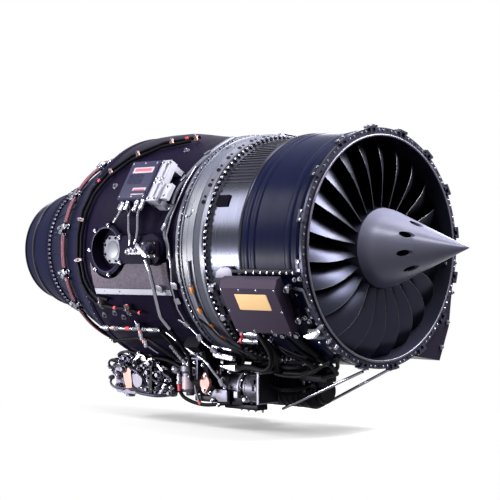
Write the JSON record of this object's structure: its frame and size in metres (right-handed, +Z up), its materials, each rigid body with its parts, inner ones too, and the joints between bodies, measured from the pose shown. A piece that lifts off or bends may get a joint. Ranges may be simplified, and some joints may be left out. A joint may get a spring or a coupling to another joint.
{
  "type": "turbofan jet engine",
  "caption": "Business-jet turbofan engine with wide-chord fan, long bypass duct, lobed mixer, tapered nozzle and accessories slung below; both spools turn.",
  "frame": {"origin": "centre of the inlet flange's front face, on the shaft axis", "axes": "+X forward along the shafts, out of the inlet; +Z up; -Y towards the side with the black control box"},
  "size_m": [2.373, 1.0472, 1.156],
  "materials": {
    "titanium_fan": "satin machined titanium",
    "spinner_metal": "matt grey anodised",
    "case_alloy": "dull bare alloy",
    "wrap_composite": "black resin over wound fibre",
    "frame_casting": "satin light grey",
    "duct_composite": "dark grey composite, satin",
    "dark_metal": "satin dark enamel",
    "black_enamel": "smooth black enamel",
    "hot_alloy": "heat-darkened alloy",
    "steel": "bright steel",
    "cast_alloy": "as-cast alloy",
    "box_alloy": "bead-blasted alloy",
    "hose_rubber": "matt black braid and rubber",
    "blanket": "dark woven blanket"
  },
  "bodies": {
    "engine": {"accessory_gearbox": "cast_alloy", "blank_plate": "black_enamel", "bypass_duct": "duct_composite", "bypass_stator": "dark_metal", "combustor_case": "hot_alloy", "combustor_liner": "hot_alloy", "compressor_case": "case_alloy", "containment_wrap": "wrap_composite", "control_box": "black_enamel", "control_box_mounts": "hose_rubber", "control_box_rail": "dark_metal", "core_bearing": "steel", "core_cowl": "case_alloy", "core_splitter": "case_alloy", "drain_rods": "steel", "duct_hoses": "hose_rubber", "exciter_box": "box_alloy", "exciter_bracket": "case_alloy", "exhaust_cone": "dark_metal", "exhaust_mixer": "hot_alloy", "exhaust_nozzle": "hot_alloy", "fan_case": "case_alloy", "fan_case_hoses": "hose_rubber", "front_bearing": "steel", "front_generator": "dark_metal", "front_mount": "steel", "fuel_control": "cast_alloy", "fuel_filter": "steel", "fuel_injectors": "steel", "fuel_pump": "cast_alloy", "fuel_tube": "steel", "heat_shield_panel": "blanket", "hub_fairing": "case_alloy", "hydraulic_pump": "dark_metal", "ignition_leads": "steel", "inlet_clips": "steel", "intermediate_frame": "frame_casting", "oil_tank": "dark_metal", "panel_strip": "case_alloy", "port_casting": "dark_metal", "port_cover": "frame_casting", "rear_bearing": "steel", "rear_frame": "hot_alloy", "rear_mount": "steel", "ring_tubes": "steel", "starter_generator": "dark_metal", "tail_cone": "hot_alloy", "thermocouple_harness": "hot_alloy", "turbine_case": "hot_alloy", "valve_block": "case_alloy", "vent_tube": "steel"},
    "fan_spool": {"spinner": "spinner_metal", "fan_blades": "titanium_fan", "fan_disc": "titanium_fan", "fan_shaft": "steel", "fan_turbine": "hot_alloy"},
    "core_spool": {"core_compressor": "titanium_fan", "core_impeller": "titanium_fan", "core_shaft": "steel", "core_turbine": "hot_alloy"}
  },
  "joints": [
    {"name": "fan_spin", "type": "hinge", "parent": "engine", "child": "fan_spool", "pos_m": [0, 0, 0], "axis": [1, 0, 0], "continuous": true},
    {"name": "core_spin", "type": "hinge", "parent": "engine", "child": "core_spool", "pos_m": [0, 0, 0], "axis": [1, 0, 0], "continuous": true}
  ]
}
